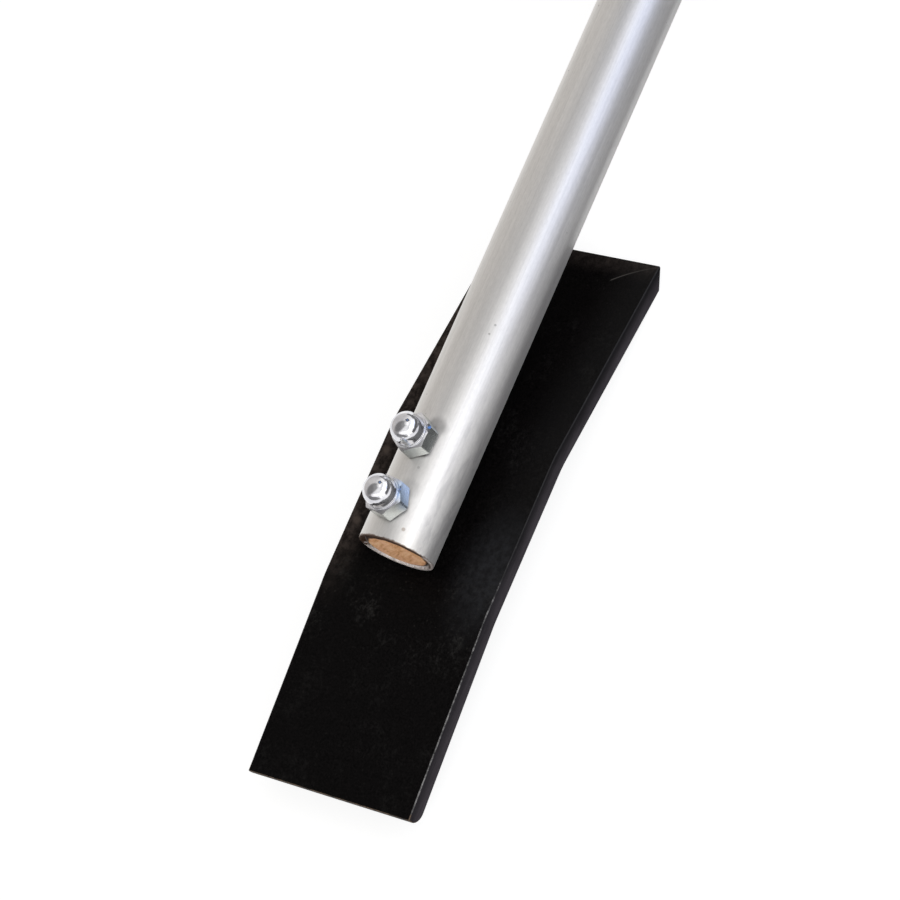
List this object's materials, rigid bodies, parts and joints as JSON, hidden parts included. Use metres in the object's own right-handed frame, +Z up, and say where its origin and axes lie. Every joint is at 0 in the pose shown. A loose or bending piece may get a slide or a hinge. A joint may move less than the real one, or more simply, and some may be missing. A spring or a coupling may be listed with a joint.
{
  "type": "roof snow rake",
  "caption": "Roof snow rake: bent black scraper blade bolted to the plugged end of a telescopic aluminium pole with twist locks, a ribbed grip and a hanging eye.",
  "frame": {"origin": "middle of the rake's length and width, on the surface that it lies on", "axes": "+X along the pole from the blade to the grip, +Y across the blade, +Z up through the cap nuts"},
  "size_m": [1.4236, 0.0714, 0.0616],
  "materials": {
    "blade_plastic": "matte black polyethylene sheet with worn edges",
    "tube_aluminium": "satin mill finish with fine lengthwise streaks",
    "core_wood": "sawn end grain, unfinished",
    "plated_steel": "zinc plated",
    "bright_plate": "bright zinc plate",
    "bush_plastic": "moulded, plain",
    "lock_plastic": "moulded, fine texture",
    "collet_plastic": "moulded, natural",
    "rivet_aluminium": "plain",
    "grip_rubber": "matte black rubber with rings"
  },
  "bodies": {
    "head": {"blade": "blade_plastic", "head_tube": "tube_aluminium", "wooden_core": "core_wood", "lower_bolt": "plated_steel", "upper_bolt": "plated_steel", "lower_cap_nut": "bright_plate", "upper_cap_nut": "bright_plate", "head_end_bush": "bush_plastic", "head_stop_ring": "bush_plastic"},
    "middle_section": {"middle_tube": "tube_aluminium", "lower_ferrule": "lock_plastic", "lower_ferrule_rivets": "rivet_aluminium", "lower_collet": "collet_plastic", "middle_end_bush": "bush_plastic", "middle_stop_ring": "bush_plastic"},
    "lower_collar": {"lower_twist_collar": "lock_plastic"},
    "handle_section": {"handle_tube": "tube_aluminium", "upper_ferrule": "lock_plastic", "upper_ferrule_rivets": "rivet_aluminium", "upper_collet": "collet_plastic", "grip": "grip_rubber", "end_cap": "lock_plastic"},
    "upper_collar": {"upper_twist_collar": "lock_plastic"}
  },
  "joints": [
    {"name": "lower_slide", "type": "slide", "parent": "head", "child": "middle_section", "axis": [1, 0, 0], "range_m": [0, 0.82]},
    {"name": "upper_slide", "type": "slide", "parent": "middle_section", "child": "handle_section", "axis": [1, 0, 0], "range_m": [0, 0.73]},
    {"name": "lower_collar_twist", "type": "hinge", "parent": "middle_section", "child": "lower_collar", "pos_m": [-0.34631, 0, 0.0326], "axis": [1, 0, 0], "range_deg": [0, 120]},
    {"name": "upper_collar_twist", "type": "hinge", "parent": "handle_section", "child": "upper_collar", "pos_m": [-0.21201, 0, 0.0326], "axis": [1, 0, 0], "range_deg": [0, 120]}
  ]
}
